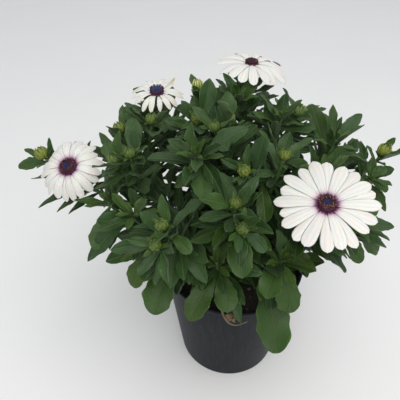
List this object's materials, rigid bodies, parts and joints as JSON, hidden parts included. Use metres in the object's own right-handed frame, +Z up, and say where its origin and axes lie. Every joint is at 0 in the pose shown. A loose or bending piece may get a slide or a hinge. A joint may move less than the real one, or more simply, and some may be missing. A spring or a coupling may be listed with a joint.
{
  "type": "osteospermum in a pot",
  "caption": "Bushy daisy plant with white, dark-centred blooms, buds and leafy stems, growing in peat in a thin, tapered plastic nursery pot.",
  "frame": {"origin": "middle of the pot's underside, on the pot's axis", "axes": "+Z up along the pot's axis; -Y is the plant's front, towards which the largest bloom leans; +X to the right seen from the front"},
  "size_m": [0.3508, 0.2603, 0.3098],
  "materials": {
    "pot": "matt charcoal moulded polypropylene with faint upright streaks",
    "peat": "moist, crumbly, nearly black peat",
    "foliage": "satin dark green leaf with a paler midrib and edge",
    "petals": "satin white petal with fine grooves, purple at its base",
    "disc": "dark purple-brown florets with orange pollen and a blue-violet middle",
    "rolled_rays": "pale yellow-green rolled petals"
  },
  "bodies": {
    "root": {"pot": "pot", "soil": "peat", "stem_back": "foliage", "stem_back_left": "foliage", "stem_back_left_bloom": "foliage", "stem_back_middle": "foliage", "stem_centre": "foliage", "stem_centre_right": "foliage", "stem_front": "foliage", "stem_front_left": "foliage", "stem_left": "foliage", "stem_left_low": "foliage", "stem_left_middle": "foliage", "stem_low_front": "foliage", "stem_low_left": "foliage", "stem_low_right": "foliage", "stem_rear": "foliage", "stem_rear_left": "foliage", "stem_rear_left_low": "foliage", "stem_rear_right": "foliage", "stem_rear_right_low": "foliage", "stem_right": "foliage", "stem_right_back": "foliage", "stem_right_front": "foliage", "stem_right_low": "foliage", "petals_back": "petals", "petals_back_left": "petals", "petals_left": "petals", "petals_right": "petals", "disc_back": "disc", "disc_back_left": "disc", "disc_left": "disc", "disc_right": "disc", "opening_bud_rays": "rolled_rays"}
  },
  "joints": []
}
